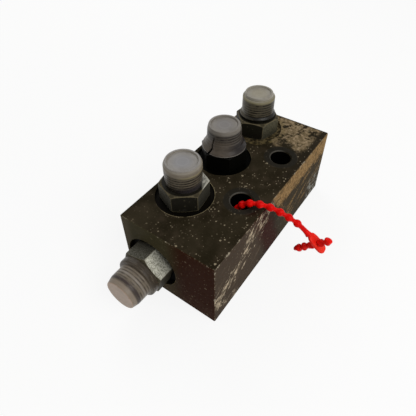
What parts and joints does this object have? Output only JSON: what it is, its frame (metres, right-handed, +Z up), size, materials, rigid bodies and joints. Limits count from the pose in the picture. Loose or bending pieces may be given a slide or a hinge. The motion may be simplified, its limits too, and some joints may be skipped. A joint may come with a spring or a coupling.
{
  "type": "hydraulic manifold block",
  "caption": "Worn dark steel hydraulic manifold block with hex stud couplings under translucent thread caps and a red beaded plastic tie through one mounting hole.",
  "frame": {"origin": "centre of the block's mounting face, which is its bottom", "axes": "+Z up, away from the mounting face and along the three top ports; +X along the block's long side, away from the end port; +Y towards the side nearer the ports"},
  "size_m": [0.1403, 0.088, 0.0672],
  "materials": {
    "phosphated_steel": "dark brown-black phosphated and oiled steel, worn, with dust and light rust",
    "zinc_plated_steel": "dull, dirty zinc plating",
    "seal_rubber": "matte black elastomer",
    "grey_cap_plastic": "translucent, greyed polyethylene",
    "purple_cap_plastic": "translucent, purple-grey polyethylene, split",
    "beige_cap_plastic": "translucent, beige-grey polyethylene",
    "red_tie_plastic": "glossy red nylon"
  },
  "bodies": {
    "root": {"block": "phosphated_steel", "coupling_near": "zinc_plated_steel", "coupling_middle": "zinc_plated_steel", "coupling_far": "zinc_plated_steel", "coupling_end": "zinc_plated_steel", "seal_near": "seal_rubber", "seal_middle": "seal_rubber", "seal_far": "seal_rubber", "seal_end": "seal_rubber", "cap_near": "grey_cap_plastic", "cap_middle": "purple_cap_plastic", "cap_far": "beige_cap_plastic", "cap_end": "beige_cap_plastic", "tie_strand": "red_tie_plastic", "tie_head": "red_tie_plastic", "tie_tail": "red_tie_plastic"}
  },
  "joints": []
}
